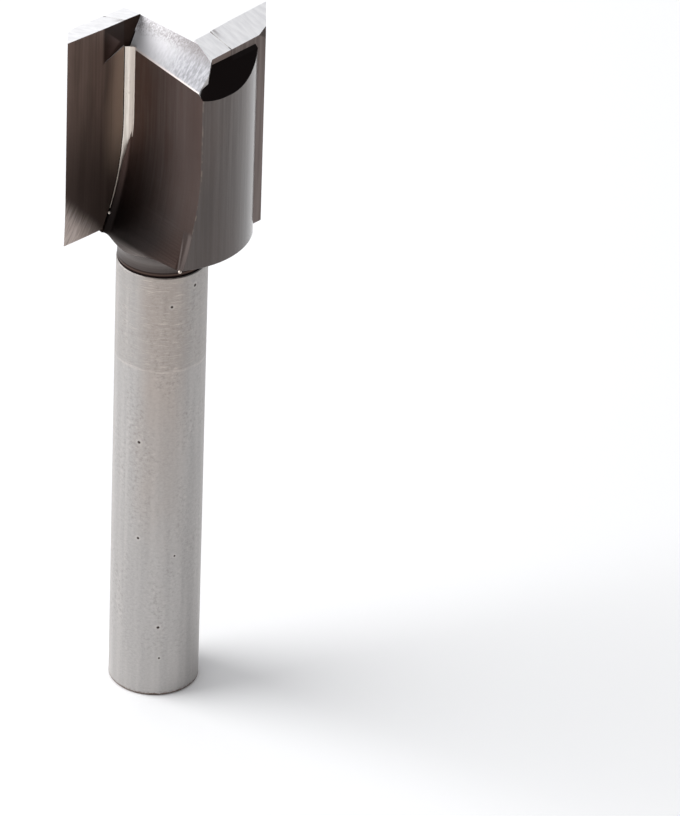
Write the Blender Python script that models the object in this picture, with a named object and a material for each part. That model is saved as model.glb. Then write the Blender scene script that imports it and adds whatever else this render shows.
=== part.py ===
"""Two-flute slot drill with brazed cutting plates on a round shank.

Metres, +Z up. The origin is the centre of the shank's end face and +Z runs
along the tool to the cutting end. The cutting faces of both plates are square
to Y, and the body has two-fold symmetry about Z.
"""

import math

import bmesh
import bpy
from mathutils import Matrix, Vector

# Shank and neck
shank_diameter = 0.008
shank_length = 0.0432
foot_chamfer = 0.00015
shoulder_chamfer = 0.0001
groove_depth = 0.00018
groove_width = 0.00018
ring_depth = 0.00007
ring_width = 0.0002
neck_diameter = 0.00784
neck_length = 0.0007
neck_fillet = 0.00125
neck_fillet_steps = 6

# Head of the body
head_diameter = 0.0156
head_underside_drop = 0.00067
head_edge_chamfer = 0.0002
turning_steps = 96

# Cutting plates, which stand proud of the head to the cutting circle
plate_projection = 0.001525
rake_offset = 0.00307
cutting_length = 0.02003
plate_thickness = 0.00269
plate_land_width = 0.00378
end_dish_angle = math.radians(2.7)
end_relief_angle = math.radians(14.5)
heel_bevel_width = 0.00085
heel_bevel_run = 0.0007
heel_bevel_height = 0.0006
plate_2_lift = 0.00057
braze_gap = 0.0003

# Flutes
web_at_corner = 0.00254
web_at_heel = 0.0057
flute_fillet = 0.000584
fillet_steps = 6
runout_length = 0.0103
runout_radius = 0.024
heel_runout_radius = 0.034
runout_steps = 12

# End of the web
ridge_drop = 0.00058
gash_drop = 0.00258
gash_steps = 8
gash_columns = 4
gash_reach = 0.00435
gash_depth = 0.00013
gash_height = 0.0036
gash_corner_height = 0.0027
clearance_drop = 0.00178
clearance_slope = 1.0
clearance_turn_x = 0.0002
clearance_heel_x = 0.00205
clearance_heel_step = 0.00098

# Smooth shading stops at edges sharper than this
sharp_angle = math.radians(20)

# Length by which every cutter runs past what it cuts
overrun = 0.002

# Derived places
shank_radius = shank_diameter / 2
neck_radius = neck_diameter / 2
head_radius = head_diameter / 2
cutting_radius = head_radius + plate_projection
reach = cutting_radius + overrun
neck_start = shank_length + groove_width + ring_width
head_bottom = neck_start + neck_length + neck_fillet + head_underside_drop
cutting_end = head_bottom + cutting_length
cutter_top = cutting_end + 2 * reach
tip_x = math.sqrt(cutting_radius ** 2 - rake_offset ** 2)
plate_back = rake_offset + plate_thickness
seat_y = plate_back + braze_gap
land_run = math.sqrt(plate_land_width ** 2 - plate_thickness ** 2)
corner_x = web_at_corner / 2
heel_x = web_at_heel / 2
heel_y = math.sqrt(head_radius ** 2 - heel_x ** 2)
runout_start = head_bottom + runout_length
ridge_height = cutting_end - ridge_drop
clearance_height = cutting_end - clearance_drop
gash_start_x = gash_reach - tip_x


def clear_scene():
    for item in list(bpy.data.objects):
        bpy.data.objects.remove(item, do_unlink=True)


def finish(name, colour, roughness, metallic):
    """A plain surface for one sub-part."""
    material = bpy.data.materials.new(name)
    material.use_nodes = True
    shader = material.node_tree.nodes["Principled BSDF"]
    shader.inputs["Base Color"].default_value = (*colour, 1)
    shader.inputs["Roughness"].default_value = roughness
    shader.inputs["Metallic"].default_value = metallic
    return material


def place(name, mesh):
    thing = bpy.data.objects.new(name, mesh)
    bpy.context.scene.collection.objects.link(thing)
    return thing


def solid(name, points, faces):
    """A closed mesh object from points and faces, with its faces pointing out."""
    mesh = bpy.data.meshes.new(name)
    mesh.from_pydata(points, [], faces)
    shape = bmesh.new()
    shape.from_mesh(mesh)
    bmesh.ops.triangulate(shape, faces=shape.faces[:])
    bmesh.ops.recalc_face_normals(shape, faces=shape.faces[:])
    shape.to_mesh(mesh)
    shape.free()
    return place(name, mesh)


def loft(name, sections):
    """A closed solid through sections that hold the same number of points."""
    count = len(sections[0])
    points = [point for section in sections for point in section]
    faces = [tuple(range(count))]
    for level in range(len(sections) - 1):
        lower = [level * count + index for index in range(count)]
        upper = [point + count for point in lower]
        for index in range(count):
            following = (index + 1) % count
            faces.append((lower[index], lower[following], upper[following], upper[index]))
    last = (len(sections) - 1) * count
    faces.append(tuple(range(last, last + count)))
    return solid(name, points, faces)


def half_turn(sections):
    """The same sections for the opposite tooth."""
    return [[(-x, -y, z) for x, y, z in section] for section in sections]


def cut(target, cutter):
    """Take the cutter's volume out of the target."""
    cutter.hide_render = True
    cutter.display_type = "WIRE"
    step = target.modifiers.new(cutter.name, "BOOLEAN")
    step.operation = "DIFFERENCE"
    step.solver = "EXACT"
    step.object = cutter


def dress(thing, material):
    """Settle the cuts, then give the piece its surface and its smooth shading."""
    bpy.context.view_layer.update()
    evaluated = thing.evaluated_get(bpy.context.evaluated_depsgraph_get())
    mesh = bpy.data.meshes.new_from_object(evaluated)
    thing.modifiers.clear()
    thing.data = mesh
    mesh.materials.clear()
    mesh.materials.append(material)
    mesh.shade_smooth()
    mesh.set_sharp_from_angle(angle=sharp_angle)


def turned_profile():
    """Half section of the blank as radius and height, from the foot to the top."""
    ring_radius = shank_radius - ring_depth
    groove_radius = shank_radius - groove_depth
    groove_top = shank_length + groove_width
    outline = [
        (shank_radius - foot_chamfer, 0),
        (shank_radius, foot_chamfer),
        (shank_radius, shank_length - shoulder_chamfer),
        (shank_radius - shoulder_chamfer, shank_length),
        (groove_radius, shank_length),
        (groove_radius, groove_top),
        (ring_radius, groove_top),
        (ring_radius, neck_start),
        (neck_radius, neck_start),
    ]
    centre_r = neck_radius + neck_fillet
    centre_z = neck_start + neck_length
    for step in range(neck_fillet_steps + 1):
        angle = math.pi - step / neck_fillet_steps * math.pi / 2
        outline.append((centre_r + neck_fillet * math.cos(angle), centre_z + neck_fillet * math.sin(angle)))
    outline.append((head_radius - head_edge_chamfer, head_bottom - head_edge_chamfer))
    outline.append((head_radius, head_bottom))
    outline.append((head_radius, cutting_end + overrun))
    return outline


def turned_blank(name):
    """The blank as it leaves the lathe: the half section taken round the axis."""
    shape = bmesh.new()
    rings = []
    for radius, height in turned_profile():
        angles = [2 * math.pi * step / turning_steps for step in range(turning_steps)]
        rings.append([shape.verts.new((radius * math.cos(a), radius * math.sin(a), height)) for a in angles])
    for lower, upper in zip(rings, rings[1:]):
        for step in range(turning_steps):
            following = (step + 1) % turning_steps
            shape.faces.new((lower[step], lower[following], upper[following], upper[step]))
    shape.faces.new(list(reversed(rings[0])))
    shape.faces.new(rings[-1])
    mesh = bpy.data.meshes.new(name)
    shape.to_mesh(mesh)
    shape.free()
    return place(name, mesh)


def runout(height, radius):
    """How far the flute floor has swung out at a height, along the milling cutter's arc."""
    depth = max(0, runout_start - height)
    return radius - math.sqrt(radius ** 2 - depth ** 2)


def floor_x(y, height):
    """Where the floor of the flute on the -X side lies at y."""
    corner = -corner_x - runout(height, runout_radius)
    heel = -heel_x - runout(height, heel_runout_radius)
    return corner + (rake_offset - y) / (rake_offset + heel_y) * (heel - corner)


def notch_angle(height):
    """Angle between the flute's floor and the plane of the cutting face."""
    run = floor_x(rake_offset, height) - floor_x(-reach, height)
    return math.atan2(reach + rake_offset, run)


def fillet_start(height):
    """Where the fillet in the flute's corner meets the plane of the cutting face."""
    return floor_x(rake_offset, height) - flute_fillet / math.tan(notch_angle(height) / 2)


def level_heights(lowest, highest):
    """Heights close together along the run-out arc, then one straight stretch."""
    span = runout_start - lowest
    return [lowest + span * step / runout_steps for step in range(runout_steps + 1)] + [highest]


def flute_section(height):
    """What the flute and the plate's seat take away at one height."""
    start = fillet_start(height)
    sweep = math.pi - notch_angle(height)
    section = [(-reach, seat_y, height), (start, seat_y, height), (start, rake_offset, height)]
    for step in range(1, fillet_steps + 1):
        angle = math.pi / 2 - sweep * step / fillet_steps
        x = start + flute_fillet * math.cos(angle)
        y = rake_offset - flute_fillet + flute_fillet * math.sin(angle)
        section.append((x, y, height))
    section.append((floor_x(-reach, height), -reach, height))
    section.append((-reach, -reach, height))
    return section


def flute_sections():
    return [flute_section(height) for height in level_heights(head_bottom - overrun, cutter_top)]


def end_height(x, y):
    """Ground end of the tooth on the -X side: dished to the centre, relieved to the back."""
    dish = math.tan(end_dish_angle) * (tip_x + x)
    relief = math.tan(end_relief_angle) * (y - rake_offset)
    return cutting_end - dish - relief


def end_sections():
    """What the end grind takes away, over the tooth and its half of the web."""
    plan = [(-reach, -corner_x), (reach, -corner_x), (reach, reach), (-reach, reach)]
    return [[(x, y, end_height(x, y)) for x, y in plan], [(x, y, cutter_top) for x, y in plan]]


def clearance_floor(y):
    return clearance_height - clearance_slope * (y - plate_back)


def clearance_sections():
    """The slope ground behind the plate, with its wall flush with the plate's back up to the heel."""
    heel_line = plate_back + clearance_heel_step
    plan = [(-reach, plate_back), (clearance_turn_x, plate_back), (clearance_heel_x, heel_line)]
    plan += [(reach, heel_line), (reach, reach), (-reach, reach)]
    return [[(x, y, clearance_floor(y)) for x, y in plan], [(x, y, cutter_top) for x, y in plan]]


def gash_slope(y):
    """Slope of the gash floor: its front edge lies level across the flute's floor."""
    return gash_drop / -floor_x(y, cutting_end)


def gash_floor_sections():
    """The warped floor that falls from the ridge across the axis to the flute."""
    sections = []
    start = rake_offset + gash_depth
    width = heel_x + flute_fillet
    line = [width * (column / gash_columns - 1) for column in range(gash_columns + 1)] + [web_at_heel]
    for step in range(gash_steps + 1):
        y = start - step / gash_steps * (start + reach)
        section = [(x, y, ridge_height + gash_slope(y) * x) for x in line]
        sections.append(section + [(web_at_heel, y, cutter_top), (-width, y, cutter_top)])
    return sections


def gash_face_sections():
    """The shallow facet that the gash leaves on the cutting face, deepest at the centre."""
    outline = [
        (gash_start_x, cutter_top),
        (gash_start_x, cutting_end - gash_height),
        (fillet_start(cutting_end), cutting_end - gash_corner_height),
        (0, ridge_height),
        (0, cutter_top),
    ]
    front = [(x, rake_offset - overrun, z) for x, z in outline]
    back = [(x, rake_offset + gash_depth * (gash_start_x - x) / gash_start_x, z) for x, z in outline]
    return [front, back]


def pair_of_cutters(name, sections):
    """One cutter for each tooth."""
    return [loft(name + "_1", sections), loft(name + "_2", half_turn(sections))]


def plate_outline(y, outer_x, lowest):
    """One face of the plate on the -X side, with its inner edge along the run-out's arc."""
    outline = [(outer_x, y, lowest), (outer_x, y, end_height(outer_x, y))]
    for height in reversed(level_heights(lowest, cutting_end)):
        x = fillet_start(height) - braze_gap
        outline.append((x, y, min(height, end_height(x, y))))
    return outline


def bevel_heel(plate, turn):
    """Take off the corner where the end, the land and the back of the plate meet."""
    along_land = heel_bevel_run / plate_land_width
    corner = (land_run - tip_x, plate_back)
    on_back = (corner[0] + heel_bevel_width, plate_back)
    on_land = (corner[0] - land_run * along_land, plate_back - plate_thickness * along_land)
    top = Vector((*corner, end_height(*corner)))
    places = [Vector((*spot, end_height(*spot))) for spot in (on_back, on_land)]
    places.append(top - Vector((0, 0, heel_bevel_height)))
    normal = (places[1] - places[0]).cross(places[2] - places[0]).normalized()
    if normal.dot(top - places[0]) < 0:
        normal.negate()
    shape = bmesh.new()
    shape.from_mesh(plate.data)
    everything = shape.verts[:] + shape.edges[:] + shape.faces[:]
    bmesh.ops.bisect_plane(
        shape, geom=everything, plane_co=turn @ places[0], plane_no=turn @ normal, clear_outer=True
    )
    bmesh.ops.contextual_create(shape, geom=[edge for edge in shape.edges if edge.is_boundary])
    bmesh.ops.triangulate(shape, faces=shape.faces[:])
    bmesh.ops.recalc_face_normals(shape, faces=shape.faces[:])
    shape.to_mesh(plate.data)
    shape.free()


def cutting_plate(name, lift, opposite):
    """A flat plate with a square back, a relieved land and a ground end."""
    lowest = head_bottom + lift
    sections = [
        plate_outline(rake_offset, -tip_x, lowest),
        plate_outline(plate_back, land_run - tip_x, lowest),
    ]
    plate = loft(name, half_turn(sections) if opposite else sections)
    turn = Matrix.Rotation(math.pi, 3, "Z") if opposite else Matrix.Identity(3)
    bevel_heel(plate, turn)
    return plate


clear_scene()

# One turned and milled piece: shank, neck and fluted head
body = turned_blank("body")
for cutter in pair_of_cutters("flute_cutter", flute_sections()):
    cut(body, cutter)
for cutter in pair_of_cutters("end_cutter", end_sections()):
    cut(body, cutter)
for cutter in pair_of_cutters("clearance_cutter", clearance_sections()):
    cut(body, cutter)
for cutter in pair_of_cutters("gash_floor_cutter", gash_floor_sections()):
    cut(body, cutter)
dress(body, finish("ground_steel", (0.52, 0.51, 0.5), 0.35, 1))

# The two plates lie in their seats with the thickness of the braze around them
plate_1 = cutting_plate("cutting_plate_1", 0, False)
plate_2 = cutting_plate("cutting_plate_2", plate_2_lift, True)
for plate, cutter in zip((plate_1, plate_2), pair_of_cutters("gash_face_cutter", gash_face_sections())):
    cut(plate, cutter)
    dress(plate, finish(plate.name + "_carbide", (0.2, 0.17, 0.16), 0.3, 1))
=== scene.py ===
import math

import bmesh
import bpy
from mathutils import Matrix, Vector


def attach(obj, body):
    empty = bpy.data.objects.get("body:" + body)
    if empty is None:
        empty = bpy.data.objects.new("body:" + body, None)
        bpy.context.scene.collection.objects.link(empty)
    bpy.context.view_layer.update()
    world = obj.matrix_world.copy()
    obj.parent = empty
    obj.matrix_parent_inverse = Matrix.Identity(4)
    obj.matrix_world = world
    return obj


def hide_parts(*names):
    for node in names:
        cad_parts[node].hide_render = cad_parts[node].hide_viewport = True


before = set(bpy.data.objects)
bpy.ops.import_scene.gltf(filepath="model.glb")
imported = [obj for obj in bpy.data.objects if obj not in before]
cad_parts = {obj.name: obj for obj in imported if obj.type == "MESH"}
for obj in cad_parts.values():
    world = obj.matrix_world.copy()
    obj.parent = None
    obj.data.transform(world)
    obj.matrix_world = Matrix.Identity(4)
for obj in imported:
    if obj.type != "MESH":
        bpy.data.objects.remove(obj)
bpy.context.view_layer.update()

# Camera
# A long lens looks down at the tool, which stands on the end of its shank and
# turns the flute of its first tooth to the left of the view.
mm = 0.001
view_turn = math.radians(46.576)
view_drop = math.radians(31.84)
view_lean = math.radians(2.009)
view_place = (15.825 * mm, -618.011 * mm, 412.046 * mm)
image_height_px = 816
focal_px = 8319.5


def as_seen(right, away, up):
    """A direction or place given as the camera sees it from the front, in the tool's own axes."""
    cosine = math.cos(view_turn)
    sine = math.sin(view_turn)
    return Vector((right * cosine + away * sine, away * cosine - right * sine, up))


lens = bpy.data.cameras.new("photo_lens")
lens.sensor_fit = "VERTICAL"
lens.sensor_height = 36
lens.lens = focal_px * lens.sensor_height / image_height_px
lens.clip_start = 0.05
lens.clip_end = 20
camera = bpy.data.objects.new("photo_camera", lens)
bpy.context.scene.collection.objects.link(camera)
look = as_seen(0, math.cos(view_drop), -math.sin(view_drop))
turn = look.to_track_quat("-Z", "Y").to_matrix().to_4x4() @ Matrix.Rotation(view_lean, 4, "Z")
camera.matrix_world = Matrix.Translation(as_seen(*view_place)) @ turn
bpy.context.scene.camera = camera
bpy.context.scene.view_settings.view_transform = "Standard"


# Floor
# A wide sheet of smooth white card, which keeps the soft shadow of the tool.
class Level:
    """A number that varies over a surface; Python maths on it adds Math nodes."""

    def __init__(self, finish, socket):
        self.finish = finish
        self.socket = socket

    def maths(self, operation, first, second=0.0):
        return self.finish.node("ShaderNodeMath", {"operation": operation}, {0: first, 1: second})

    def __add__(self, other):
        return self.maths("ADD", self, other)

    def __sub__(self, other):
        return self.maths("SUBTRACT", self, other)

    def __rsub__(self, other):
        return self.maths("SUBTRACT", other, self)

    def __mul__(self, other):
        return self.maths("MULTIPLY", self, other)

    def __truediv__(self, other):
        return self.maths("DIVIDE", self, other)

    def __pow__(self, other):
        return self.maths("POWER", self, other)

    def __abs__(self):
        return self.maths("ABSOLUTE", self)

    def sign(self):
        return self.maths("SIGN", self)

    def most(self, other):
        return self.maths("MAXIMUM", self, other)

    __radd__ = __add__
    __rmul__ = __mul__


class Finish:
    """The node tree of one finish, or of the world's light."""

    def __init__(self, owner):
        owner.use_nodes = True
        self.owner = owner
        self.tree = owner.node_tree

    def feed(self, socket, value):
        if isinstance(value, Level):
            self.tree.links.new(value.socket, socket)
        else:
            socket.default_value = value

    def node(self, kind, settings, sockets, output=0):
        """A node of one kind: its settings first, then values or links for its sockets."""
        made = self.tree.nodes.new(kind)
        for name, value in settings.items():
            setattr(made, name, value)
        for key, value in sockets.items():
            self.feed(made.inputs[key], value)
        return Level(self, made.outputs[output])

    def beside(self, level, output):
        """Another output of the node that a level comes from."""
        return Level(self, level.socket.node.outputs[output])

    def share(self, level, low, high):
        """0 below the low value, 1 above the high one, with a smooth step between them."""
        sockets = {"Value": level, "From Min": low, "From Max": high}
        return self.node("ShaderNodeMapRange", {"interpolation_type": "SMOOTHSTEP"}, sockets)

    def blend(self, share, first, second):
        """The first colour where the share is 0, the second where it is 1."""
        # The node holds a set of sockets for each kind of data; 6, 7 and 2 are the colours'.
        sockets = {0: share, 6: first, 7: second}
        return self.node("ShaderNodeMix", {"data_type": "RGBA"}, sockets, 2)

    def lay(self, under, share, *steps):
        """A colour in screen steps laid over the one under it, where the share is 1."""
        return self.blend(share, under, colour(*steps))

    def tones(self, level, low, high, first, second):
        """Two colours in screen steps, mixed by a level between its low and high values."""
        return self.blend(self.share(level, low, high), colour(*first), colour(*second))


def colour(red, green, blue):
    """A colour read off a screen in steps of 0 to 255, as the shader's linear values."""
    steps = [step / 255 for step in (red, green, blue)]
    return tuple(((s + 0.055) / 1.055) ** 2.4 if s > 0.04045 else s / 12.92 for s in steps) + (1,)


floor_half = 1.5
card_colour = (0.93, 0.935, 0.94, 1)
card_glow = (0.05, 0.05, 0.05, 1)
no_glow = (0, 0, 0, 1)
floor_mesh = bpy.data.meshes.new("card")
floor_corners = [(-floor_half, -floor_half, 0), (floor_half, -floor_half, 0)]
floor_corners += [(floor_half, floor_half, 0), (-floor_half, floor_half, 0)]
floor_mesh.from_pydata(floor_corners, [], [(0, 1, 2, 3)])
floor = bpy.data.objects.new("card", floor_mesh)
bpy.context.scene.collection.objects.link(floor)
card = Finish(bpy.data.materials.new("white_card"))
floor_mesh.materials.append(card.owner)
camera_ray = card.node("ShaderNodeLightPath", {}, {}, "Is Camera Ray")
seen = camera_ray.most(card.beside(camera_ray, "Is Glossy Ray"))
paper = card.tree.nodes["Principled BSDF"]
paper.inputs["Base Color"].default_value = card_colour
paper.inputs["Roughness"].default_value = 0.9
paper.inputs["Specular IOR Level"].default_value = 0.1
paper.inputs["Emission Strength"].default_value = 1
card.feed(paper.inputs["Emission Color"], card.blend(seen, no_glow, card_glow))

# Light
# One broad soft box stands on the left, and a pale room that is brightest on
# the left, behind and above lights the rest.
room_bright_side = as_seen(-0.72, 0.32, 0.615)
dim_room = (0.11, 0.11, 0.113, 1)
bright_room = (0.81, 0.81, 0.825, 1)
room = bpy.data.worlds.new("studio")
bpy.context.scene.world = room
air = Finish(room)
direction = air.node("ShaderNodeTexCoord", {}, {}, "Generated")
both_ways = {0: direction, 1: room_bright_side}
facing_bright = air.node("ShaderNodeVectorMath", {"operation": "DOT_PRODUCT"}, both_ways, "Value")
glow = air.blend(air.share(facing_bright, -0.7, 0.95), dim_room, bright_room)
air.feed(air.tree.nodes["Background"].inputs["Color"], glow)

key_size = 0.62
key_distance = 0.7
key_power = 4.95
key_direction = as_seen(-0.8, 0.05, 0.55).normalized()
key = bpy.data.lights.new("soft_box", "AREA")
key.shape = "DISK"
key.size = key_size
key.energy = key_power
key_lamp = bpy.data.objects.new("soft_box", key)
bpy.context.scene.collection.objects.link(key_lamp)
key_turn = key_direction.to_track_quat("Z", "Y").to_matrix().to_4x4()
key_lamp.matrix_world = Matrix.Translation(key_direction * key_distance) @ key_turn

# Body
# One piece of tool steel, turned on a lathe from foot to head. Two flutes are
# milled up its head, and its end is ground to a ridge with two gashes.
shank_radius = 4 * mm
shank_top = 43.2 * mm
foot_chamfer = 0.15 * mm
shoulder_chamfer = 0.1 * mm
groove_depth = 0.18 * mm
groove_top = shank_top + 0.18 * mm
ring_depth = 0.07 * mm
neck_start = groove_top + 0.2 * mm
neck_radius = 3.92 * mm
neck_fillet = 1.98 * mm
neck_fillet_height = neck_start + 0.4 * mm
neck_fillet_steps = 16
head_radius = 7.8 * mm
head_bottom = 46.2 * mm
head_edge = 0.05 * mm
cutting_end = 66.23 * mm
blank_spare = 2 * mm
turning_steps = 288
body_sharp_angle = math.radians(18)


def place(name, mesh):
    thing = bpy.data.objects.new(name, mesh)
    bpy.context.scene.collection.objects.link(thing)
    return thing


def loft(name, sections):
    """A closed solid through sections that hold the same number of points."""
    count = len(sections[0])
    shape = bmesh.new()
    rings = [[shape.verts.new(point) for point in section] for section in sections]
    for lower, upper in zip(rings, rings[1:]):
        for index in range(count):
            following = (index + 1) % count
            shape.faces.new((lower[index], lower[following], upper[following], upper[index]))
    shape.faces.new(rings[0])
    shape.faces.new(rings[-1])
    shape.normal_update()
    bmesh.ops.triangulate(shape, faces=shape.faces[:])
    bmesh.ops.recalc_face_normals(shape, faces=shape.faces[:])
    mesh = bpy.data.meshes.new(name)
    shape.to_mesh(mesh)
    shape.free()
    return place(name, mesh)


def half_turn(sections):
    """The same sections for the second tooth, half a turn round the axis."""
    return [[(-x, -y, z) for x, y, z in section] for section in sections]


def settle(thing, cutters, sharp_angle):
    """Cut with each cutter in turn, keep the result as plain mesh and shade it."""
    for cutter in cutters:
        step = thing.modifiers.new(cutter.name, "BOOLEAN")
        step.operation = "DIFFERENCE"
        step.solver = "EXACT"
        step.object = cutter
    bpy.context.view_layer.update()
    evaluated = thing.evaluated_get(bpy.context.evaluated_depsgraph_get())
    mesh = bpy.data.meshes.new_from_object(evaluated)
    thing.modifiers.clear()
    thing.data = mesh
    for cutter in cutters:
        bpy.data.objects.remove(cutter, do_unlink=True)
    mesh.materials.clear()
    mesh.shade_smooth()
    mesh.set_sharp_from_angle(angle=sharp_angle)


profile = [
    (shank_radius - foot_chamfer, 0),
    (shank_radius, foot_chamfer),
    (shank_radius, shank_top - shoulder_chamfer),
    (shank_radius - shoulder_chamfer, shank_top),
    (shank_radius - groove_depth, shank_top),
    (shank_radius - groove_depth, groove_top),
    (shank_radius - ring_depth, groove_top),
    (shank_radius - ring_depth, neck_start),
    (neck_radius, neck_start),
]
for step in range(neck_fillet_steps + 1):
    angle = math.pi - step / neck_fillet_steps * math.pi / 2
    radius = neck_radius + neck_fillet * (1 + math.cos(angle))
    profile.append((radius, neck_fillet_height + neck_fillet * math.sin(angle)))
profile += [
    (head_radius - head_edge, head_bottom - head_edge),
    (head_radius, head_bottom),
    (head_radius, cutting_end + blank_spare),
]
turning_angles = [2 * math.pi * step / turning_steps for step in range(turning_steps)]
body_sections = []
for radius, height in profile:
    ring = [(radius * math.cos(a), radius * math.sin(a), height) for a in turning_angles]
    body_sections.append(ring)
body = loft("turned_body", body_sections)

# Flutes: the floor of each leans back from the cutting face, and swings out at
# its lower end along the milling cutter's arc. The seat for the plate is beside it.
rake_y = 3.07 * mm
plate_back = 5.76 * mm
seat_y = 6.06 * mm
tip_x = 8.805 * mm
corner_x = 1.27 * mm
heel_x = 2.85 * mm
heel_y = math.sqrt(head_radius ** 2 - heel_x ** 2)
corner_fillet = 0.584 * mm
corner_fillet_steps = 14
runout_start = 56.5 * mm
corner_runout = 24 * mm
heel_runout = 34 * mm
runout_steps = 40
flute_spare = 2 * mm
reach = 11.3 * mm
cutter_top = 90 * mm


def runout(height, radius):
    """How far the milling cutter's arc of this radius swings out at a height."""
    depth = max(0, runout_start - height)
    return radius - math.sqrt(radius ** 2 - depth ** 2)


def floor_x(y, height):
    """Where the floor of the first flute lies at y."""
    corner = -corner_x - runout(height, corner_runout)
    heel = -heel_x - runout(height, heel_runout)
    return corner + (rake_y - y) / (rake_y + heel_y) * (heel - corner)


def notch_angle(height):
    """The angle of the flute's corner, between its floor and the cutting face."""
    return math.atan2(reach + rake_y, floor_x(rake_y, height) - floor_x(-reach, height))


def fillet_start(height):
    """Where the fillet in the flute's corner meets the plane of the cutting face."""
    return floor_x(rake_y, height) - corner_fillet / math.tan(notch_angle(height) / 2)


def fillet_point(start, angle, radius, height):
    """A point round the centre of the corner's fillet."""
    y = rake_y - corner_fillet + radius * math.sin(angle)
    return (start + radius * math.cos(angle), y, height)


def flute_section(height):
    start = fillet_start(height)
    sweep = math.pi - notch_angle(height)
    section = [(-reach, seat_y, height), (start, seat_y, height)]
    for step in range(corner_fillet_steps + 1):
        angle = math.pi / 2 - sweep * step / corner_fillet_steps
        section.append(fillet_point(start, angle, corner_fillet, height))
    return section + [(floor_x(-reach, height), -reach, height), (-reach, -reach, height)]


flute_sections = []
for step in range(runout_steps + 1):
    rise = (runout_start - head_bottom + flute_spare) * step / runout_steps
    flute_sections.append(flute_section(head_bottom - flute_spare + rise))
flute_sections.append(flute_section(cutter_top))

# End: dished to the centre and relieved to the back of each tooth.
end_dish = math.tan(math.radians(2.7))
end_relief = math.tan(math.radians(14.5))
end_plan = [(-reach, -corner_x), (reach, -corner_x), (reach, reach), (-reach, reach)]


def end_height(x, y):
    return cutting_end - end_dish * (tip_x + x) - end_relief * (y - rake_y)


end_sections = [
    [(x, y, end_height(x, y)) for x, y in end_plan],
    [(x, y, cutter_top) for x, y in end_plan],
]

# Clearance: a slope that falls away behind each plate, in two facets, up to a
# slanted side wall at the gash.
clearance_top = 64.6 * mm
clearance_turn = 0.3 * mm
clearance_plan = [
    ((-reach, plate_back), (-reach, plate_back, 67 * mm)),
    ((clearance_turn, plate_back), (clearance_turn, plate_back, 65.6 * mm)),
    ((1.55 * mm, 6.58 * mm), (1.42 * mm, 6.53 * mm, 64.35 * mm)),
    ((2.89 * mm, 7.21 * mm), (2.68 * mm, 6.6 * mm, 63.16 * mm)),
    ((reach, reach - 0.4 * mm), (reach, 6.8 * mm, 63.2 * mm)),
    ((reach, reach), (reach, reach, 67 * mm)),
    ((-reach, reach), (-reach, reach, 67 * mm)),
]


def clearance_sections(across, along):
    """A cut above one plane of the clearance, which falls by these slopes."""
    low = []
    for (x, y), _ in clearance_plan:
        fall = across * (x - clearance_turn)
        low.append((x, y, clearance_top - fall - along * (y - plate_back)))
    middle = [wall_top for _, wall_top in clearance_plan]
    return [low, middle, [(x, y, cutter_top) for x, y, _ in middle]]


tooth_clearance = clearance_sections(0.016, 1.054)
heel_clearance = clearance_sections(0.144, 1.049)

# Gash: a warped floor that falls from the ridge to a level edge on the flute, with
# a small hollow corner along the face of the tooth.
ridge_height = 65.65 * mm
gash_drop = 2.58 * mm
gash_start = rake_y + 0.13 * mm
gash_side = 3.4 * mm
gash_far_x = 5.7 * mm
gash_steps = 32
gash_step_growth = 1.5
gash_strips = 8
gash_corner = 0.35 * mm
gash_corner_slope = 0.3
gash_places = [gash_side * (strip / gash_strips - 1) for strip in range(gash_strips + 1)]
gash_sections = []
for step in range(gash_steps + 1):
    y = gash_start - (step / gash_steps) ** gash_step_growth * (gash_start + reach)
    slope = gash_drop / -floor_x(y, cutting_end)
    near = max(0, 1 - (gash_start - y) / gash_corner)
    slope -= gash_corner_slope * (1 - math.sqrt(1 - near ** 2))
    section = [(x, y, ridge_height + slope * x) for x in gash_places + [gash_far_x]]
    gash_sections.append(section + [(gash_far_x, y, cutter_top), (-gash_side, y, cutter_top)])

# Heel: the lower end of each flute's outer edge is broken by a narrow facet. Its
# two widths change from the top of the facet to the bottom.
heel_cut_top = 49.9 * mm
heel_cut_ease = 0.9 * mm
heel_cut_spare = 0.4 * mm
heel_cut_steps = 30
heel_cut_proud = 0.004 * mm
floor_width = 1.1 * mm
floor_width_loss = 0.55 * mm
round_width = 0.04 * mm
round_width_gain = 0.26 * mm
halvings = 40


def heel_point(height):
    """Where the floor of the first flute runs out through the round side of the head."""
    low = -head_radius
    high = 0.0
    for _ in range(halvings):
        y = (low + high) / 2
        if math.hypot(floor_x(y, height), y) > head_radius:
            low = y
        else:
            high = y
    return Vector((floor_x(high, height), high))


heel_sections = []
for step in range(heel_cut_steps + 1):
    fall = step / heel_cut_steps * (heel_cut_top - head_bottom + heel_cut_spare)
    height = heel_cut_top - fall
    ease = min(1, (heel_cut_top - height) / heel_cut_ease)
    ease = ease * ease * (3 - 2 * ease)
    drop = (heel_cut_top - height) / (heel_cut_top - head_bottom)
    heel = heel_point(height)
    along_floor = (Vector((floor_x(0, height), 0)) - heel).normalized()
    along_round = Vector((-heel.y, heel.x)).normalized()
    open_side = Vector((-along_floor.y, along_floor.x)) * heel_cut_proud
    on_floor = heel + along_floor * (floor_width - floor_width_loss * drop) * ease + open_side
    on_round = heel + along_round * (round_width + round_width_gain * drop) * ease
    outside = heel - (along_floor + along_round).normalized() * mm
    heel_sections.append([(point.x, point.y, height) for point in (on_floor, on_round, outside)])

body_cutters = []
for name, sections in (
    ("flute", flute_sections),
    ("end", end_sections),
    ("clearance", tooth_clearance),
    ("heel_clearance", heel_clearance),
    ("gash", gash_sections),
    ("heel", heel_sections),
):
    body_cutters.append(loft(name + "_cutter_1", sections))
    body_cutters.append(loft(name + "_cutter_2", half_turn(sections)))
settle(body, body_cutters, body_sharp_angle)

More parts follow.
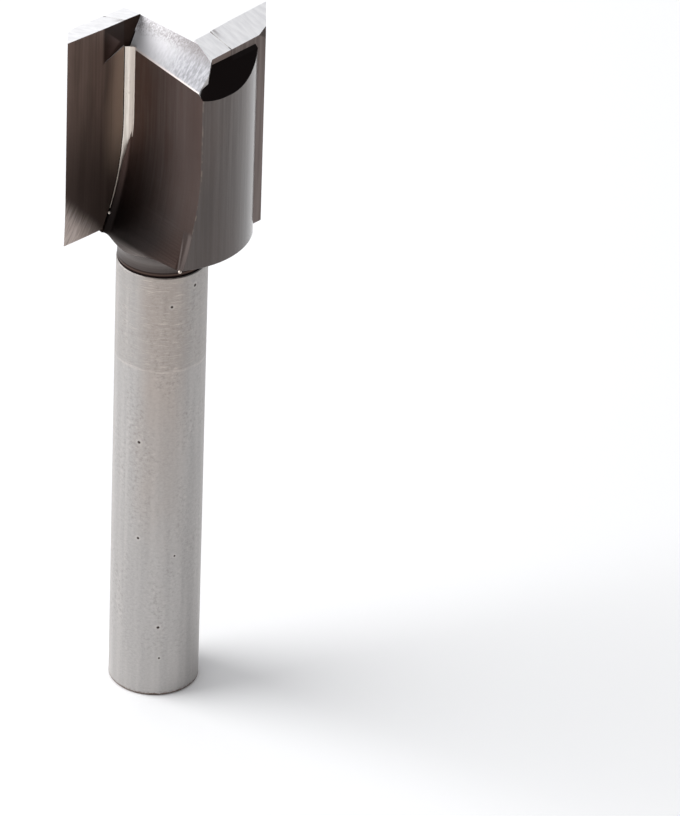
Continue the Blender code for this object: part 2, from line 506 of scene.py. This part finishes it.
# Finish of the body: light ground shank, brown heat-stained head with the marks
# of the milling cutter, and bright fresh-ground end. Places are in millimetres.
steel = Finish(bpy.data.materials.new("ground_steel"))
body.data.materials.append(steel.owner)


def parts_of(finish, vector):
    made = finish.node("ShaderNodeSeparateXYZ", {}, {0: vector})
    return [finish.beside(made, part) for part in ("X", "Y", "Z")]


def surface_places(finish):
    """Place in millimetres and facing of each point of a surface."""
    source = finish.node("ShaderNodeTexCoord", {}, {}, "Object")
    sockets = {0: source, "Scale": 1 / mm}
    place_mm = finish.node("ShaderNodeVectorMath", {"operation": "SCALE"}, sockets)
    return place_mm, parts_of(finish, finish.beside(source, "Normal"))


def grain(finish, across, along, up, detail=3.0, roughness=0.55):
    """Noise over three measures, each already scaled, as the marks of a tool are."""
    places = finish.node("ShaderNodeCombineXYZ", {}, {0: across, 1: along, 2: up})
    sockets = {"Vector": places, "Scale": 1.0, "Detail": detail, "Roughness": roughness}
    return finish.node("ShaderNodeTexNoise", {}, sockets)


def spot(finish, where, centre, radius):
    """1 in the middle of a small round spot, 0 outside it."""
    ends = {0: where, 1: centre}
    away = finish.node("ShaderNodeVectorMath", {"operation": "DISTANCE"}, ends, "Value")
    return finish.share(away, radius, radius * 0.4)


def dress(finish, tint, roughness, metallic, marks, depth):
    """Feed a finish's shader; the marks stand proud of the surface by the depth."""
    shader = finish.tree.nodes["Principled BSDF"]
    finish.feed(shader.inputs["Base Color"], tint)
    finish.feed(shader.inputs["Metallic"], metallic)
    finish.feed(shader.inputs["Roughness"], roughness)
    bump = finish.node("ShaderNodeBump", {}, {"Strength": 1.0, "Distance": depth, "Height": marks})
    finish.feed(shader.inputs["Normal"], bump)
    return shader


where, (side_x, side_y, side_z) = surface_places(steel)
x, y, z = parts_of(steel, where)
own_x = 0 - abs(x)
own_y = 0 - y * x.sign()
from_axis = (x * x + y * y) ** 0.5
turned_to = steel.node("ShaderNodeMath", {"operation": "ARCTAN2"}, {0: y, 1: x})
facing_out = (side_x * x + side_y * y) / from_axis
rounded = steel.share(facing_out, 0.94, 0.985) * steel.share(from_axis, 7.6, 7.7)
in_head = steel.share(z, 45.3, 46.0)
above_shank = steel.share(z, 43.15, 43.2)
on_end = steel.share(side_z, 0.2, 0.3) * steel.share(z, 60.0, 60.5)
on_clearance = steel.share(abs(side_y), 0.5, 0.6) * on_end
on_gash = steel.share(abs(side_x), 0.3, 0.42) * on_end
behind_tooth = steel.share(side_y * y.sign(), 0.45, 0.6) * steel.share(abs(y), 5.5, 5.6)
beside_clearance = behind_tooth * steel.share(z, 61.5, 61.8)
beside_clearance = beside_clearance * steel.share(side_z, 0.4, 0.3) * (1 - rounded)
on_gash_wall = steel.share(abs(side_y), 0.75, 0.9) * steel.share(z, 61.2, 61.3)
on_gash_wall = on_gash_wall * steel.share(abs(y), 5.0, 4.9)

# Shank: a mottled skin with a few small pits. Above a faint line it also shows the
# fine rings of the grinding wheel. Each pit is given by its angle, height and radius.
shank_radius_mm = 4.0
finish_line_z = 33.95
pit_table = [
    (-89, 41.9, 0.2),
    (-121.6, 40.3, 0.17),
    (-159.9, 26.3, 0.2),
    (-158.6, 16.4, 0.17),
    (-110.9, 14.6, 0.13),
    (-130.4, 7.25, 0.19),
    (-128.3, 4.0, 0.13),
    (-20, 30.0, 0.16),
    (35, 12.5, 0.18),
    (96, 37.0, 0.15),
]
round_mm = turned_to * shank_radius_mm
skin = grain(steel, round_mm * 4.0, 0.0, z * 6.0, 4.0, 0.65)
broad = grain(steel, round_mm * 0.3, 0.0, z * 0.12, 2.0)
streaks = grain(steel, round_mm * 0.9, 5.0, z * 0.05, 2.0)
rings = grain(steel, round_mm * 0.22, 0.0, z * 7.0, 4.0, 0.7)
scratches = grain(steel, round_mm * 0.7, 3.0, z * 16.0, 3.0, 0.6)
mottle = grain(steel, round_mm * 2.6, 7.0, z * 2.9, 5.0, 0.72)
patches = steel.share(grain(steel, round_mm * 0.4, 9.0, z * 0.15, 2.0), 0.42, 0.6)
mottled = (patches * 0.7 + 0.3) * steel.share(z, 2.0, 7.0)
uneven_z = z + broad * 0.5
upper = steel.share(uneven_z, 33.9, 34.15)
warm_side = steel.share(abs(turned_to + 2.3 + (broad - 0.5) * 0.5), 0.75, 0.15)
warm = warm_side * steel.share(z + broad * 24.0, 20.0, 52.0)
dark_mottle = steel.share(mottle, 0.5, 0.62) * mottled
light_mottle = steel.share(mottle, 0.46, 0.36) * mottled
ring_marks = steel.share(rings, 0.52, 0.66) * upper
scratched = steel.share(scratches, 0.56, 0.66) * upper * (0.4 + warm * 0.5)
on_line = steel.share(abs(uneven_z - finish_line_z), 0.17, 0.05)
finish_line = on_line * steel.share(scratches, 0.42, 0.6)
shank_colour = steel.tones(skin, 0.3, 0.7, (168, 165, 163), (181, 178, 176))
shank_colour = steel.lay(shank_colour, steel.share(streaks, 0.38, 0.66) * 0.35, 198, 194, 191)
shank_colour = steel.lay(shank_colour, warm * 0.6, 180, 165, 154)
shank_colour = steel.lay(shank_colour, dark_mottle * 0.45, 142, 136, 132)
shank_colour = steel.lay(shank_colour, light_mottle * 0.35, 208, 202, 197)
shank_colour = steel.lay(shank_colour, ring_marks * 0.25, 152, 146, 140)
shank_colour = steel.lay(shank_colour, scratched, 224, 214, 204)
# Above the finish line the shank is painted darker: a painted shadow of the head.
shank_colour = steel.lay(shank_colour, upper * 0.2, 146, 138, 132)
shank_colour = steel.lay(shank_colour, finish_line * 0.4, 222, 214, 206)
pits = 0
rims = 0
for degrees, height, radius in pit_table:
    angle = math.radians(degrees)
    centre = (shank_radius_mm * math.cos(angle), shank_radius_mm * math.sin(angle), height)
    pits = pits + spot(steel, where, centre, radius)
    rims = rims + spot(steel, where, centre, radius * 2.2)
# A thin dark brown rim round the very foot of the shank.
dark_foot_rim = steel.share(z + skin * 0.5, 0.62, 0.36)
shank_colour = steel.lay(shank_colour, rims * 0.35, 216, 211, 206)
shank_colour = steel.lay(shank_colour, pits, 58, 48, 44)
shank_colour = steel.lay(shank_colour, dark_foot_rim, 88, 64, 48)

# Neck: fine turning lines. The neck is painted dark as the shade under the head, and darker
# towards its foot: painted shade at the foot of its fillet and in the groove, with a painted
# highlight on the ring between them.
neck_lines = grain(steel, 0.0, 0.0, z * 9.0, 3.0)
neck_colour = steel.tones(neck_lines, 0.35, 0.65, (100, 93, 90), (110, 104, 101))
neck_colour = steel.lay(neck_colour, steel.share(z, 44.7, 43.8) * 0.7, 66, 57, 54)
neck_colour = steel.lay(neck_colour, steel.share(z, 43.74, 43.68), 52, 41, 38)
neck_colour = steel.lay(neck_colour, steel.share(z, 43.58, 43.54), 82, 65, 57)
neck_colour = steel.lay(neck_colour, steel.share(z, 43.45, 43.4), 36, 22, 18)

# Flutes: streaks run up the floor, and the heel's edge follows the milling cutter's arc. The
# floor's colour carries painted shade: darker and browner by the plate, where the plate shades
# it, lighter towards the heel, and near black deep in its lower end.
runout_z = 56.5
runout_bend = 0.0151
flute_lines = grain(steel, 0.0, y * 3.4, z * 0.09, 4.0, 0.6)
flute_broad = grain(steel, 0.0, y * 0.5, z * 0.14, 2.0)
deep_shade = steel.share(z, 58.5, 46.6)
far_in = steel.share(own_y, -6.2, -2.0)
below_runout = runout_z - z
curved_in = steel.share(z, runout_z, 56.4) * below_runout * below_runout * runout_bend
by_heel = steel.share(own_x + curved_in, -2.35, -2.75) * (1 - rounded)
flute_colour = steel.tones(flute_lines, 0.3, 0.7, (102, 86, 81), (116, 103, 99))
flute_colour = steel.lay(flute_colour, steel.share(flute_broad, 0.4, 0.7) * 0.5, 98, 74, 66)
flute_colour = steel.lay(flute_colour, steel.share(own_y, -1.0, 2.6) * 0.5, 96, 66, 56)
flute_colour = steel.lay(flute_colour, steel.share(own_y, -2.0, -5.5) * 0.4, 118, 106, 103)
# Near black deep in the lower end: painted shade.
flute_colour = steel.lay(flute_colour, deep_shade * (0.92 + far_in * 0.08), 26, 18, 16)
flute_colour = steel.lay(flute_colour, by_heel * 0.45, 60, 40, 32)

# Round side of the head: streaks run up it, with bright nicks along the heel's edge that
# are wear and partly a painted highlight. It is painted darker towards the bottom as shade.
side_lines = grain(steel, turned_to * 14.0, 0.0, z * 0.05, 4.0, 0.62)
side_broad = grain(steel, turned_to * 3.0, 0.0, z * 0.1, 2.0)
heel_edge_wear_and_glint = steel.share(abs(own_x + curved_in + 2.78), 0.1, 0.02) * rounded
heel_edge_wear_and_glint = heel_edge_wear_and_glint * steel.share(grain(steel, x, y, z * 0.8), 0.5, 0.62)
heel_edge_wear_and_glint = heel_edge_wear_and_glint * steel.share(own_y, -6.0, -6.4)
round_colour = steel.tones(side_lines, 0.34, 0.66, (64, 53, 48), (86, 77, 73))
round_colour = steel.lay(round_colour, steel.share(side_broad, 0.35, 0.7) * 0.6, 80, 66, 60)
# Darker towards the bottom of the head: painted shade.
round_colour = steel.lay(round_colour, steel.share(z, 62.0, 50.0) * 0.4, 48, 38, 34)
# Bright nicks along the heel's edge: wear, and partly a painted highlight.
round_colour = steel.lay(round_colour, heel_edge_wear_and_glint * 0.35, 150, 132, 116)

# Heel facet: two streaks run down it.
across_facet = own_y + 6.66 + (z - 46.5) * 0.083
facet_width = 0.54 + (z - 46.2) * 0.15
on_heel_facet = steel.share(across_facet - facet_width, 0.03, -0.03) * (1 - rounded)
on_heel_facet = on_heel_facet * steel.share(z, 49.9, 49.2) * steel.share(own_y, -4.8, -5.0)
inner_streak = steel.share(abs(across_facet - facet_width + 0.1), 0.12, 0.03)
facet_streaks = steel.share(abs(across_facet - 0.12), 0.34, 0.08)
facet_streaks = facet_streaks + inner_streak * steel.share(z, 49.2, 47.8)
facet_colour = steel.blend(facet_streaks, colour(58, 48, 45), colour(92, 82, 79))
head_colour = steel.blend(rounded, flute_colour, round_colour)
head_colour = steel.blend(on_heel_facet, head_colour, facet_colour)

# End: fresh-ground and bright, dull where the gash meets the ridge. The gash is painted
# lighter towards the tooth's face, as painted light where the tooth shades it, and a painted
# highlight runs along its edge on the flute's floor.
floor_lean = 1.58 / 10.33
cross_lines = grain(steel, x * 1.7, y * 4.6, z * 1.7, 4.0, 0.6)
speckle = grain(steel, x * 5.0, y * 8.0, z * 5.0, 3.0, 0.6)
end_lines = grain(steel, x * 2.6, y * 0.6, 0.0, 3.0)
near_ridge = steel.share(own_x + speckle * 0.6, -0.5, 0.05) * steel.share(speckle, 0.3, 0.66)
floor_line = 0 - 1.27 - (3.07 - own_y) * floor_lean
# A bright line along the gash's edge on the flute's floor: a painted highlight.
front_edge_highlight = steel.share(own_x - floor_line, 0.14, 0.04)
gash_colour = steel.tones(cross_lines, 0.32, 0.68, (122, 122, 126), (162, 162, 167))
gash_colour = steel.lay(gash_colour, steel.share(own_x, -1.5, -0.1) * 0.7, 124, 120, 120)
# Lighter towards the tooth's face: painted light against the tooth's shadow.
gash_colour = steel.lay(gash_colour, steel.share(own_y, -4.5, 2.6) * 0.92, 222, 221, 224)
gash_colour = steel.lay(gash_colour, near_ridge * 0.6, 92, 82, 81)
gash_colour = steel.lay(gash_colour, front_edge_highlight * 0.7, 226, 214, 208)
end_colour = steel.tones(end_lines, 0.3, 0.7, (234, 234, 236), (249, 249, 250))
step_colour = steel.tones(x * y.sign(), 0.3, 1.4, (120, 106, 100), (196, 192, 190))

tint = steel.blend(above_shank, shank_colour, neck_colour)
tint = steel.blend(in_head, tint, head_colour)
tint = steel.blend(on_end, tint, end_colour)
tint = steel.blend(on_gash, tint, gash_colour)
# The clearance slopes are painted near black: painted shade.
tint = steel.lay(tint, on_clearance, 24, 15, 14)
tint = steel.blend(beside_clearance, tint, step_colour)
tint = steel.lay(tint, on_gash_wall, 58, 40, 31)
skin_marks = (skin * 0.5 + rings * upper * 0.6 - pits * 2.0) * (1 - above_shank)
head_marks = (flute_lines * (1 - rounded) + side_lines * rounded) * in_head * (1 - on_end)
end_marks = cross_lines * on_gash * 1.6 + end_lines * on_end * 0.2
steel_marks = skin_marks + head_marks + end_marks
steel_roughness = 0.44 - 0.1 * in_head + 0.1 * on_gash + 0.06 * skin
steel_metallic = 0.8 - 0.55 * on_end * (1 - on_clearance)
shader = dress(steel, tint, steel_roughness, steel_metallic, steel_marks, 0.012 * mm)
steel.feed(shader.inputs["Coat Weight"], rounded * in_head)
shader.inputs["Coat Roughness"].default_value = 0.16
shader.inputs["Coat IOR"].default_value = 1.5
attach(body, "root")
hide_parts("body")

# Cutting plates
# Two flat plates of sintered carbide, ground on their faces, land and end. They
# are brazed into the seats beside the flutes and stand proud of the head.
seam = 0.1 * mm
plate_thickness_mm = 2.69
land_length_mm = 3.78
land_run = math.sqrt(land_length_mm ** 2 - plate_thickness_mm ** 2) * mm
plate_lift = 0.57 * mm
plate_steps = 48
plate_sharp_angle = math.radians(20)
face_strips = 14
roll_line_height = 41.71 * mm
roll_line_slope = 1.037
roll_bend = 12
bevel_on_land_mm = 0.7
bevel_on_back = 0.85 * mm
bevel_down = 0.6 * mm
bevel_reach = 3 * mm
bevel_depth = 2 * mm
facet_start = -4.455 * mm
facet_depth = 0.13 * mm
facet_front_spare = 2 * mm
facet_outline = [
    (facet_start, cutter_top),
    (facet_start, cutting_end - 3.6 * mm),
    (fillet_start(cutting_end), cutting_end - 2.7 * mm),
    (0, ridge_height),
    (0, cutter_top),
]


def corner_roll(x, height):
    """How far the cutting face falls back towards its lower outer corner."""
    below = roll_line_height - height - roll_line_slope * x
    return roll_bend * max(0, below / math.hypot(1, roll_line_slope)) ** 2


def plate_section(height):
    inner = fillet_start(height) - seam
    front = []
    for step in range(face_strips + 1):
        x = -tip_x + (inner + tip_x) * step / face_strips
        front.append((x, rake_y + corner_roll(x, height), height))
    return front + [(inner, plate_back, height), (land_run - tip_x, plate_back, height)]


def heel_bevel_sections():
    """The corner between the end, the land and the back of a plate is ground off."""
    corner = Vector((land_run - tip_x, plate_back))
    land_share = bevel_on_land_mm / land_length_mm
    spots = [
        (corner.x + bevel_on_back, plate_back),
        (corner.x - land_run * land_share, plate_back - (plate_back - rake_y) * land_share),
    ]
    places = [Vector((*spot, end_height(*spot))) for spot in spots]
    top = Vector((*corner, end_height(*corner)))
    places.append(top - Vector((0, 0, bevel_down)))
    outward = (places[1] - places[0]).cross(places[2] - places[0]).normalized()
    if outward.dot(top - places[0]) < 0:
        outward.negate()
    across = (places[1] - places[0]).normalized() * bevel_reach
    down = outward.cross(across)
    base = [places[0] - across * 2 - down, places[0] + across * 2 - down]
    base += [places[0] + across * 2 + down, places[0] - across * 2 + down]
    return [base, [point + outward * bevel_depth for point in base]]


facet_sections = [
    [(x, rake_y - facet_front_spare, z) for x, z in facet_outline],
    [(x, rake_y + facet_depth * (facet_start - x) / facet_start, z) for x, z in facet_outline],
]

# Finish of the plates: heat-stained faces with a painted reflection of the solder beside it and a
# painted highlight line; a bright lower corner with slanted grinding lines, fresh-ground and
# partly a painted reflection; a gash facet painted dark as a dark reflection, with a painted
# highlight on its inner slope; and a bright end.
carbide = Finish(bpy.data.materials.new("ground_carbide"))
where, (_, side_y, side_z) = surface_places(carbide)
x, y, z = parts_of(carbide, where)
own_x = 0 - abs(x)
own_y = 0 - y * x.sign()
own_side_y = 0 - side_y * x.sign()
on_end = carbide.share(side_z, 0.7, 0.85)
on_face = carbide.share(own_side_y, -0.75, -0.9)
face_lines = grain(carbide, x * 4.2, 0.0, z * 0.07, 4.0, 0.6)
face_broad = grain(carbide, x * 0.9, 0.0, z * 0.1, 2.0)
braze_reach = carbide.share(z, 57.0, 62.5) * 0.9 - 4.8
braze_reflection = carbide.share(own_x, braze_reach, -2.4) * carbide.share(z, 49.5, 56.0)
highlight_line = carbide.share(abs(own_x + 3.46), 0.1, 0.03) * carbide.share(z, 50.5, 53.0)
face_colour = carbide.tones(face_lines, 0.3, 0.7, (120, 100, 90), (140, 121, 111))
face_colour = carbide.lay(face_colour, carbide.share(face_broad, 0.4, 0.65) * 0.5, 96, 82, 72)
face_colour = carbide.lay(face_colour, carbide.share(own_x, -7.4, -8.8) * 0.7, 150, 128, 118)
face_colour = carbide.lay(face_colour, carbide.share(z, 62.5, 50.5) * 0.75, 62, 49, 45)
# Lighter beside the solder: a painted reflection of the bright solder.
face_colour = carbide.lay(face_colour, braze_reflection * 0.85, 196, 172, 152)
# A thin lighter line across the face: a painted highlight.
face_colour = carbide.lay(face_colour, highlight_line * 0.4, 128, 112, 98)

along_roll = own_x * 0.869 - z * 0.495
across_roll = own_x * 0.495 + z * 0.869
roll_line_z = 41.71
roll_line_run = 1.44
below_roll_line = (roll_line_z - z - roll_line_slope * own_x) / roll_line_run
corner_lines = grain(carbide, along_roll * 5.0, 0.0, across_roll * 0.5, 4.0, 0.6)
# The lower corner is fresh-ground, and its brighter colour is partly a painted reflection.
in_corner = carbide.share(below_roll_line + corner_lines * 0.5, -0.2, 1.8)
corner_colour = carbide.tones(corner_lines, 0.35, 0.65, (184, 168, 160), (222, 208, 200))
face_colour = carbide.blend(in_corner, face_colour, corner_colour)

# The gash facet is painted dark as a dark reflection in the recess, and its inner slope carries a
# painted highlight.
above_facet_line = z - (62.63 + 0.36 * (own_x + 4.455))
in_facet = carbide.share(own_x, -4.7, -4.3) * carbide.share(above_facet_line, -0.1, 0.06)
inner_slope_highlight = carbide.share(64.1 - 0.92 * (own_x + 2.55) - z, -0.08, 0.12)
inner_slope_highlight = inner_slope_highlight * carbide.share(z - 64.1 - 0.74 * (own_x + 2.5), -0.3, 0.1)
inner_slope_highlight = inner_slope_highlight * carbide.share(own_x, -4.5, -2.6)
facet_colour = carbide.blend(inner_slope_highlight * 0.8, colour(47, 30, 22), colour(108, 90, 85))
face_colour = carbide.blend(in_facet, face_colour, facet_colour)

back_lines = grain(carbide, x * 3.0, y * 3.0, z * 0.08, 3.0)
back_colour = carbide.tones(back_lines, 0.35, 0.65, (98, 87, 83), (120, 109, 105))
plate_end_lines = grain(carbide, x * 2.6, y * 0.6, 0.0, 3.0)
smudge = carbide.share(own_x, -2.9, -2.15) * carbide.share(own_y, 4.5, 3.15)
smudge = smudge * carbide.share(grain(carbide, x * 4.0, y * 0.8, 0.0, 3.0), 0.3, 0.6)
bright_end = carbide.tones(plate_end_lines, 0.3, 0.7, (234, 234, 236), (249, 249, 250))
bright_end = carbide.lay(bright_end, smudge * 0.8, 128, 120, 120)
tint = carbide.blend(on_face, back_colour, face_colour)
tint = carbide.blend(on_end, tint, bright_end)
face_marks = face_lines * on_face * 0.8 + corner_lines * on_face * in_corner * 1.5
plate_marks = face_marks + plate_end_lines * on_end * 0.2
plate_roughness = 0.36 + 0.08 * in_corner
plate_metallic = 0.8 - 0.35 * on_face - 0.55 * on_end
dress(carbide, tint, plate_roughness, plate_metallic, plate_marks, 0.01 * mm)

for number, lowest in ((1, head_bottom), (2, head_bottom + plate_lift)):
    rise = runout_start - lowest
    plate_heights = [lowest + rise * step / plate_steps for step in range(plate_steps + 1)]
    parts = [
        [plate_section(height) for height in plate_heights + [cutting_end + mm]],
        end_sections,
        facet_sections,
        heel_bevel_sections(),
    ]
    if number == 2:
        parts = [half_turn(sections) for sections in parts]
    plate = loft("ground_plate_%d" % number, parts[0])
    plate_cutters = [loft("plate_cutter_%d" % index, parts[index]) for index in (1, 2, 3)]
    settle(plate, plate_cutters, plate_sharp_angle)
    plate.data.materials.append(carbide.owner)
    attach(plate, "root")
    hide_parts("cutting_plate_%d" % number)

# Braze
# Silver solder holds each plate. It fills the seams behind and beside the plate,
# and its uneven fillet runs down the corner of the flute to a small drop. The fillet's bright
# colour is partly a painted reflection of the light in the polished corner.
solder = Finish(bpy.data.materials.new("silver_solder"))
where, _ = surface_places(solder)
x, y, z = parts_of(solder, where)
own_y = 0 - y * x.sign()
flow = grain(solder, x * 5.0, y * 5.0, z * 0.35, 4.0, 0.6)
lumps = grain(solder, x * 3.0, y * 3.0, z * 3.0, 3.0)
by_floor = solder.share(own_y + flow * 0.2, 2.95, 2.8)
thin_run = solder.share(z, 54.5, 51.0) * solder.share(z, 47.8, 48.0)
# The bright solder colour on the fillet is partly a painted reflection.
tint = solder.tones(flow, 0.3, 0.7, (224, 214, 204), (242, 233, 222))
tint = solder.lay(tint, by_floor * 0.6, 196, 182, 172)
tint = solder.lay(tint, solder.share(lumps, 0.62, 0.72) * 0.3, 176, 164, 154)
tint = solder.lay(tint, thin_run * 0.75, 126, 112, 102)
dress(solder, tint, 0.34, 0.85, flow + lumps * 0.5, 0.02 * mm)

# Finish of the film in the seams: ground bright with the end, dark on its sides.
seam_film = Finish(bpy.data.materials.new("seam_film"))
where, (_, _, side_z) = surface_places(seam_film)
x, y, z = parts_of(seam_film, where)
own_y = 0 - y * x.sign()
film_spots = grain(seam_film, x * 4.0, y * 4.0, z * 0.6, 3.0)
ground_top = seam_film.share(side_z, 0.7, 0.85)
film_top = seam_film.tones(film_spots, 0.35, 0.65, (216, 214, 212), (240, 239, 238))
film_top = seam_film.lay(film_top, seam_film.share(own_y, 4.2, 3.2), 158, 150, 146)
film_top = seam_film.lay(film_top, seam_film.share(own_y, 5.3, 5.5), 96, 88, 84)
film_side = seam_film.tones(own_y, 4.8, 5.4, (50, 36, 30), (98, 87, 83))
# Sides on the clearance are painted near black like the clearance: painted shade.
film_side = seam_film.lay(film_side, seam_film.share(side_z, 0.4, 0.5), 24, 15, 14)
tint = seam_film.blend(ground_top, film_side, film_top)
dress(seam_film, tint, 0.5, 0.7, film_spots, 0.01 * mm)

# The tables give, at heights in millimetres, where the bead ends and where the
# prong beside it starts and ends, as shares of the corner fillet's width.
film_front = rake_y + facet_depth
seat_outer_x = -math.sqrt(head_radius ** 2 - seat_y ** 2)
film_steps = 24
bead_lift = 0.11 * mm
bead_edge = 0.008 * mm
bead_root = 0.08 * mm
bead_steps = 90
bead_strips = 12
bead_table = [
    (63.35, 1.0),
    (59.0, 1.0),
    (55.9, 1.0),
    (55.2, 0.84),
    (54.6, 0.7),
    (53.8, 0.55),
    (52.3, 0.34),
    (51.3, 0.24),
    (49.8, 0.17),
    (48.5, 0.11),
    (48.0, 0.05),
]
prong_steps = 12
prong_strips = 6
prong_table = [(56.2, 0.7, 1.0), (55.6, 0.74, 0.98), (55.0, 0.8, 0.95), (54.5, 0.86, 0.9)]
drop_place = (-3.53 * mm, rake_y - 0.02 * mm, 47.55 * mm)
drop_radius = 0.15 * mm
bead_sharp_angle = math.radians(50)


def between(table, height):
    """The rest of a table's row at a height, on straight lines between its rows."""
    for upper, lower in zip(table, table[1:]):
        if upper[0] >= height >= lower[0]:
            part = (upper[0] - height) / (upper[0] - lower[0])
            return [a + (b - a) * part for a, b in zip(upper[1:], lower[1:])]
    return list(table[-1][1:])


def heights_down(table, steps):
    """Even heights from a table's first row down to its last."""
    top, bottom = table[0][0], table[-1][0]
    return [top - step / steps * (top - bottom) for step in range(steps + 1)]


def bead_section(height, first, last, strips):
    """Solder over the corner's fillet between two shares of its width."""
    start = fillet_start(height)
    sweep = math.pi - notch_angle(height)
    points = []
    for strip in range(strips + 1):
        part = strip / strips
        angle = math.pi / 2 - sweep * (first + (last - first) * part)
        lift = bead_lift * (last - first) ** 0.5 * math.sin(math.pi * part) ** 0.6
        points.append(fillet_point(start, angle, corner_fillet - bead_edge - lift, height))
    for share in (last, first):
        angle = math.pi / 2 - sweep * share
        points.append(fillet_point(start, angle, corner_fillet + bead_root, height))
    return points


def bead_end(height):
    """Where the bead ends at a height, with a small unevenness."""
    (share,) = between(bead_table, height)
    wobble = 0.012 * math.sin(height * 5.1 + 1.0) + 0.008 * math.sin(height * 12.7 + 2.0)
    return min(1, share + wobble)


def film_section(height):
    start = fillet_start(height)
    plan = [
        (start - seam, film_front),
        (start, film_front),
        (start, seat_y),
        (seat_outer_x, seat_y),
        (seat_outer_x, plate_back),
        (start - seam, plate_back),
    ]
    return [(x, y, height) for x, y in plan]


def speck(name, middle, radius):
    """A small round bead of metal."""
    shape = bmesh.new()
    where = Matrix.Translation(middle)
    bmesh.ops.create_icosphere(shape, subdivisions=3, radius=radius, matrix=where)
    mesh = bpy.data.meshes.new(name)
    shape.to_mesh(mesh)
    shape.free()
    return place(name, mesh)


bead_sections = []
for height in heights_down(bead_table, bead_steps):
    bead_sections.append(bead_section(height * mm, 0, bead_end(height), bead_strips))
prong_sections = []
for height in heights_down(prong_table, prong_steps):
    first, last = between(prong_table, height)
    prong_sections.append(bead_section(height * mm, first, last, prong_strips))

for number, lowest in ((1, head_bottom), (2, head_bottom + plate_lift)):
    rise = runout_start - lowest
    film_heights = [lowest + rise * step / film_steps for step in range(film_steps + 1)]
    film_parts = [film_section(height) for height in film_heights + [cutting_end + mm]]
    groups = [film_parts, end_sections, tooth_clearance, bead_sections, prong_sections]
    drop_middle = drop_place
    if number == 2:
        groups = [half_turn(sections) for sections in groups]
        drop_middle = (-drop_place[0], -drop_place[1], drop_place[2])
    film = loft("braze_film_%d" % number, groups[0])
    film_cutters = [loft("film_cutter_%d" % index, groups[index]) for index in (1, 2)]
    settle(film, film_cutters, plate_sharp_angle)
    film.data.materials.append(seam_film.owner)
    bead = loft("braze_bead_and_reflection_%d" % number, groups[3])
    prong = loft("braze_prong_and_reflection_%d" % number, groups[4])
    drop = speck("braze_drop_%d" % number, drop_middle, drop_radius)
    for piece in (bead, prong, drop):
        settle(piece, [], bead_sharp_angle)
        piece.data.materials.append(solder.owner)
    for piece in (film, bead, prong, drop):
        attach(piece, "root")

# Burr
# A bright speck of metal that the milling cutter left at the foot of the first
# tooth's heel.
burr_place = (-4.25 * mm, -6.4 * mm, 46.05 * mm)
burr_radius = 0.16 * mm
burr = speck("heel_burr", burr_place, burr_radius)
settle(burr, [], bead_sharp_angle)
burr.data.materials.append(solder.owner)
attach(burr, "root")
